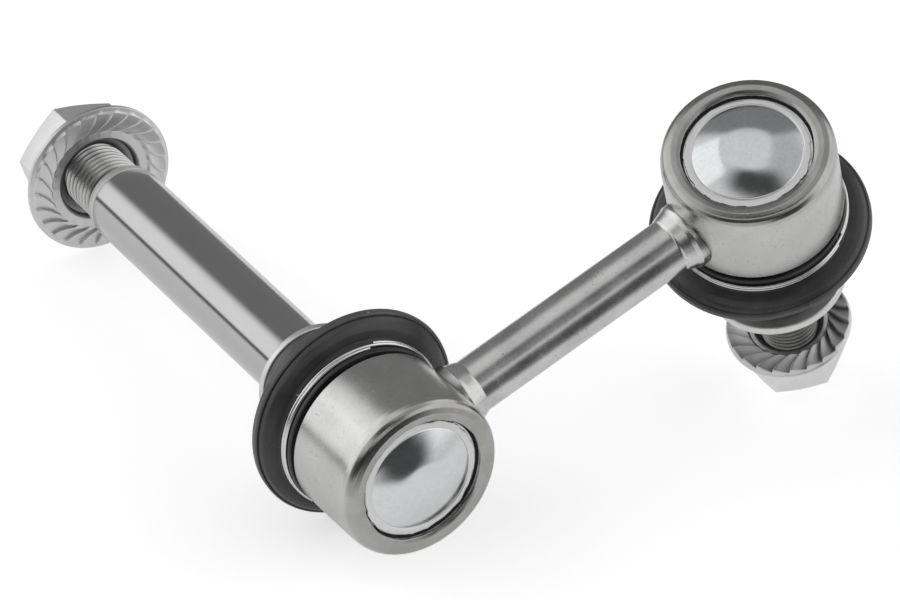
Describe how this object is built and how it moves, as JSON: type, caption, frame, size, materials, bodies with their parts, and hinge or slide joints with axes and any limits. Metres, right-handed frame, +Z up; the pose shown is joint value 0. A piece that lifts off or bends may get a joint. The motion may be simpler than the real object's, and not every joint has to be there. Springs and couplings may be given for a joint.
{
  "type": "stabilizer link",
  "caption": "Stabilizer link: a steel rod with a crimped ball joint, rubber boot, threaded stud and flange nut at each end, the joints turned to each other.",
  "frame": {"origin": "middle of the bounding box in plan, on the plane that the link lies on", "axes": "+Z up from the plane that the link rests on, +X along the rod in plan from joint a to joint b, +Y the way the long stud points back from joint a"},
  "size_m": [0.1162, 0.1342, 0.0652],
  "materials": {
    "zinc_steel": "zinc-plated steel, mottled and lightly scratched",
    "ground_steel": "turned and ground steel, bright",
    "bright_zinc": "bright zinc plating",
    "spring_steel": "bright drawn spring wire",
    "boot_rubber": "moulded black rubber, satin",
    "seat_plastic": "natural bearing plastic, satin"
  },
  "bodies": {
    "link": {"link_rod": "zinc_steel", "housing_a": "zinc_steel", "cover_a": "bright_zinc", "ball_seat_a": "seat_plastic", "housing_b": "zinc_steel", "cover_b": "bright_zinc", "ball_seat_b": "seat_plastic"},
    "boot_unit_a": {"boot_a": "boot_rubber", "boot_clip_a": "spring_steel"},
    "neck_a": {"neck_sleeve_a": "zinc_steel"},
    "stud_a": {"ball_stud_a": "ground_steel"},
    "nut_a": {"flange_nut_a": "bright_zinc"},
    "boot_unit_b": {"boot_b": "boot_rubber", "boot_clip_b": "spring_steel"},
    "neck_b": {"neck_sleeve_b": "zinc_steel"},
    "stud_b": {"ball_stud_b": "ground_steel"},
    "nut_b": {"flange_nut_b": "bright_zinc"}
  },
  "joints": [
    {"name": "swivel_a", "type": "hinge", "parent": "link", "child": "boot_unit_a", "pos_m": [-0.04, -0.05003, 0.01934], "axis": [0.001, -1, -0.0025], "continuous": true},
    {"name": "tilt_a", "type": "hinge", "parent": "boot_unit_a", "child": "neck_a", "pos_m": [-0.04, -0.05003, 0.01934], "axis": [-0.693, 0.0011, -0.7209], "range_deg": [-24.5, 15.5], "deforming": ["boot_a"]},
    {"name": "spin_a", "type": "hinge", "parent": "neck_a", "child": "stud_a", "pos_m": [-0.04, -0.05003, 0.01934], "axis": [-0.0555, -0.9971, 0.0519], "continuous": true},
    {"name": "nut_travel_a", "type": "slide", "parent": "stud_a", "child": "nut_a", "axis": [0.0555, 0.9971, -0.0519], "range_m": [-0.008, 0.0075]},
    {"name": "swivel_b", "type": "hinge", "parent": "link", "child": "boot_unit_b", "pos_m": [0.03226, -0.05003, 0.04873], "axis": [-0.3618, -0.2783, 0.8898], "continuous": true},
    {"name": "tilt_b", "type": "hinge", "parent": "boot_unit_b", "child": "neck_b", "pos_m": [0.03226, -0.05003, 0.04873], "axis": [-0.9067, -0.1171, -0.4053], "range_deg": [-24.4, 15.6], "deforming": ["boot_b"]},
    {"name": "spin_b", "type": "hinge", "parent": "neck_b", "child": "stud_b", "pos_m": [0.03226, -0.05003, 0.04873], "axis": [-0.3774, -0.2043, 0.9032], "continuous": true},
    {"name": "nut_travel_b", "type": "slide", "parent": "stud_b", "child": "nut_b", "axis": [0.3774, 0.2043, -0.9032], "range_m": [-0.0125, 0.0055]}
  ]
}
